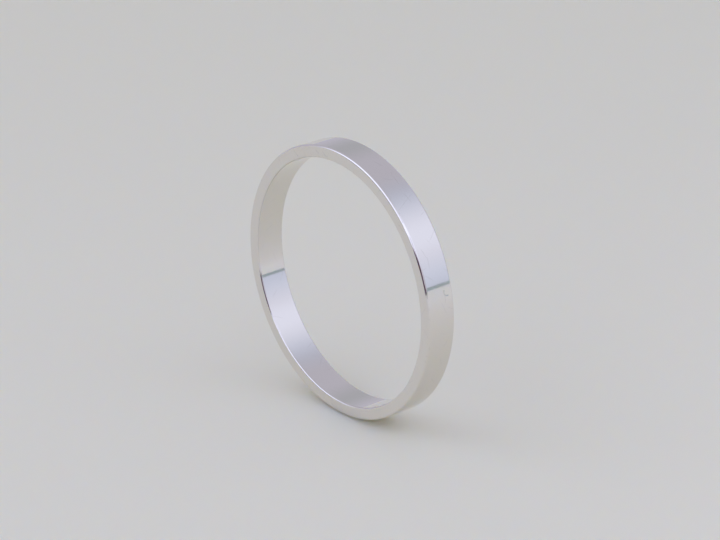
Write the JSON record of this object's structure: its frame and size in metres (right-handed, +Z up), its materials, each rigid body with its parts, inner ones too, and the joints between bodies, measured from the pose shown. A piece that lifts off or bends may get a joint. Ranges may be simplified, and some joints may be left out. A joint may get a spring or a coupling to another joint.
{
  "type": "wedding band",
  "caption": "Plain flat wedding band: a narrow closed ring in polished white metal with a smooth finger bore and lightly rounded edges.",
  "frame": {"origin": "centre of the finger bore, halfway between the two side faces", "axes": "+Y along the finger bore, which the band is symmetrical about, and +Z up, so the band stands on its edge as shown for sale"},
  "size_m": [0.0176, 0.002, 0.0176],
  "materials": {
    "polished_white_gold": "mirror polished white precious metal with fine wear marks"
  },
  "bodies": {
    "root": {"band": "polished_white_gold"}
  },
  "joints": []
}
